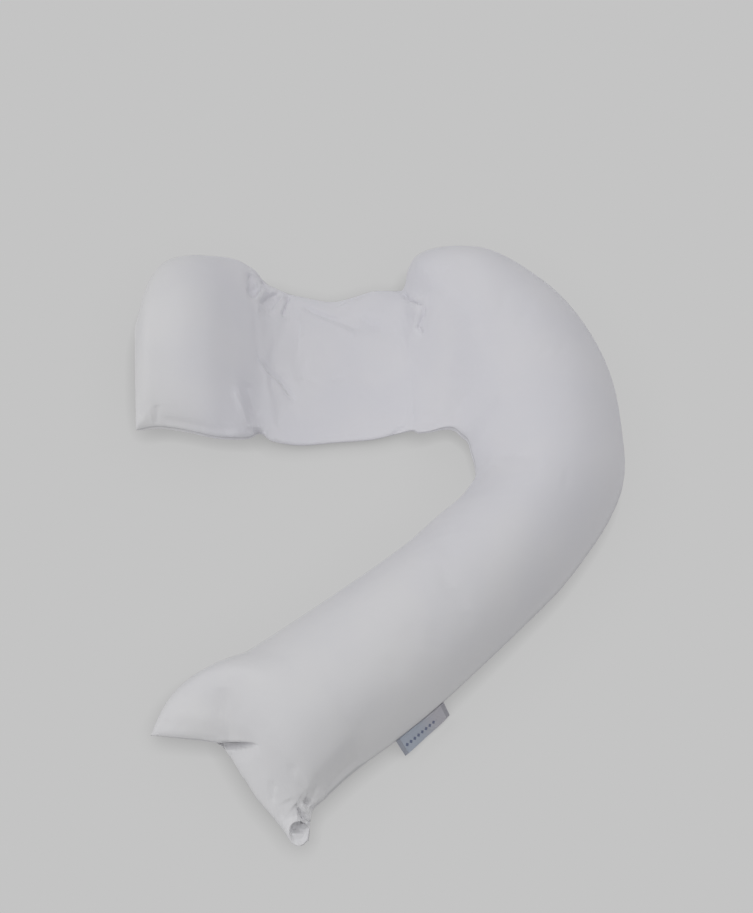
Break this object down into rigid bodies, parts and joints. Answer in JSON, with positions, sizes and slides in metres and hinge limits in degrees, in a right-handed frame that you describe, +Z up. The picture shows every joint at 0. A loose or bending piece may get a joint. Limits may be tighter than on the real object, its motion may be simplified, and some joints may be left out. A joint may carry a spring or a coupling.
{
  "type": "body pillow",
  "caption": "Hook-shaped body pillow with a back cushion, a flat panel and a long curved filled limb.",
  "frame": {"origin": "middle of the bounding box in plan, on the surface that the pillow lies on", "axes": "+Z up from the surface, +X along the flat panel from the back cushion to the limb, +Y from the tail to the back edge"},
  "size_m": [0.7966, 1.012, 0.1732],
  "materials": {
    "white_cotton": "matt white woven cotton",
    "grey_ribbon": "grey-violet woven satin ribbon"
  },
  "bodies": {
    "root": {"pillow": "white_cotton", "label": "grey_ribbon"}
  },
  "joints": []
}
